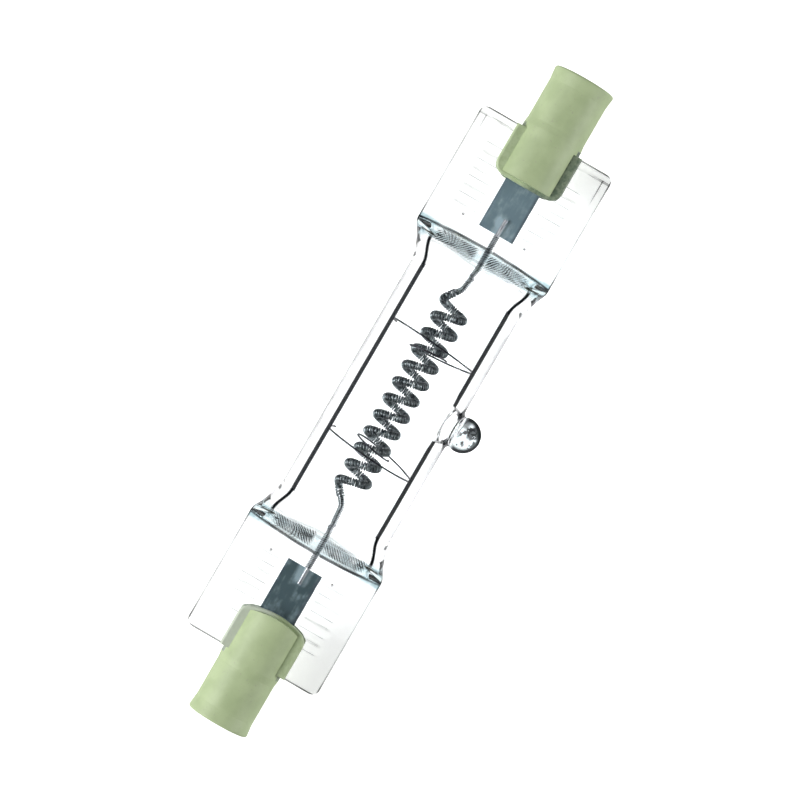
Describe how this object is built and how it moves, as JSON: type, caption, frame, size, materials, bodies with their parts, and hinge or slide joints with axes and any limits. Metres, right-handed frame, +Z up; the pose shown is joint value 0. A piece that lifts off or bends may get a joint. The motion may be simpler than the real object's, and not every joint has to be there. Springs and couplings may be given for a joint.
{
  "type": "linear halogen lamp",
  "caption": "Double-ended tubular halogen lamp: clear quartz tube with pressed flat seals, coiled filament, side exhaust tip and ceramic end caps with recessed contacts.",
  "frame": {"origin": "on the surface the lamp lies on, at the middle of the bottom of its box, which is 0.65 mm to the -Y side of the axis of the tube", "axes": "+X along the tube toward the right end cap, +Z up. The lamp lies on its tube, with the pressed seals level and the exhaust tip pointing toward -Y"},
  "size_m": [0.08, 0.0182, 0.0134],
  "materials": {
    "quartz": "clear fused quartz, fire polished",
    "tungsten_coil": "fine drawn tungsten wire, dark grey",
    "lead_metal": "drawn molybdenum, grey",
    "foil": "rolled molybdenum ribbon, blue grey",
    "ceramic": "unglazed steatite, pale grey green",
    "cement": "fired cement, grey green",
    "contact_metal": "nickel plated, dull"
  },
  "bodies": {
    "root": {"quartz_envelope": "quartz", "filament_coil": "tungsten_coil", "right_filament_lead": "lead_metal", "right_lead_overwind": "tungsten_coil", "right_filament_support": "tungsten_coil", "right_seal_foil": "foil", "right_outer_lead": "lead_metal", "right_end_cap": "ceramic", "right_cap_cement": "cement", "right_contact": "contact_metal", "left_filament_lead": "lead_metal", "left_lead_overwind": "tungsten_coil", "left_filament_support": "tungsten_coil", "left_seal_foil": "foil", "left_outer_lead": "lead_metal", "left_end_cap": "ceramic", "left_cap_cement": "cement", "left_contact": "contact_metal"}
  },
  "joints": []
}
